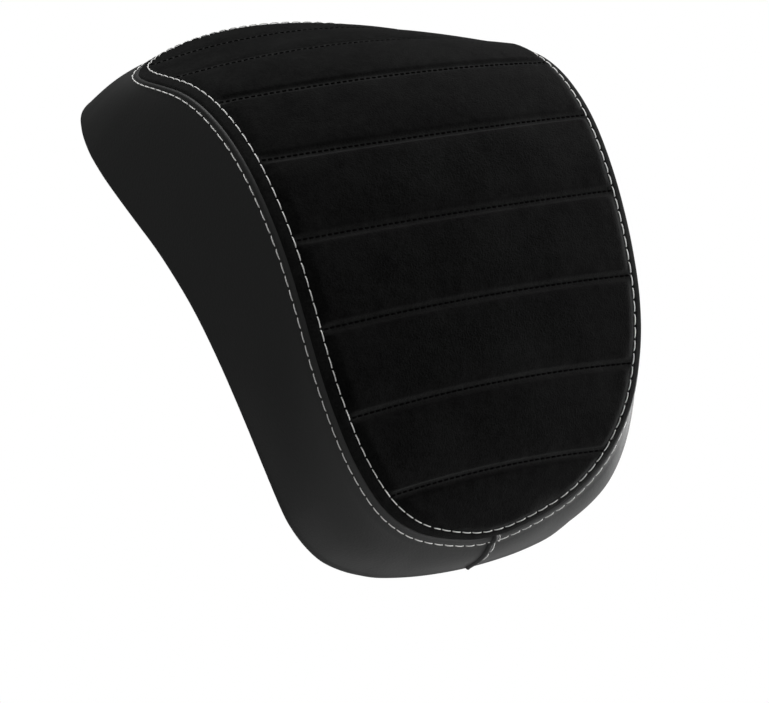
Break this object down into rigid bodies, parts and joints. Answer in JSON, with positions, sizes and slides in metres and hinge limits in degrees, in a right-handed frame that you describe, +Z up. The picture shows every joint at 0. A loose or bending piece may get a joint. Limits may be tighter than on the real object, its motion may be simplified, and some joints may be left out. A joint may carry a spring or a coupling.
{
  "type": "scooter backrest",
  "caption": "Padded scooter backrest that curves back at the top, a sewn suede front with cross channels in a leather side band, on a moulded plate with screw bosses",
  "frame": {"origin": "centre of the four screw holes, on the plane of the boss ends", "axes": "+Z up, the sewn front faces -Y, the bosses face +Y, X is the width"},
  "size_m": [0.208, 0.1689, 0.2925],
  "materials": {
    "suede": "black suede with a short nap",
    "leather": "smooth matt black leather",
    "foam": "grey open-cell foam",
    "plate": "black moulded plastic",
    "steel": "plain steel wire"
  },
  "bodies": {
    "root": {"front_panel": "suede", "quilt_padding": "foam", "foam_core": "foam", "base_plate": "plate", "side_band_left": "leather", "side_band_right": "leather", "join_fold": "leather", "cover_staples": "steel"}
  },
  "joints": []
}
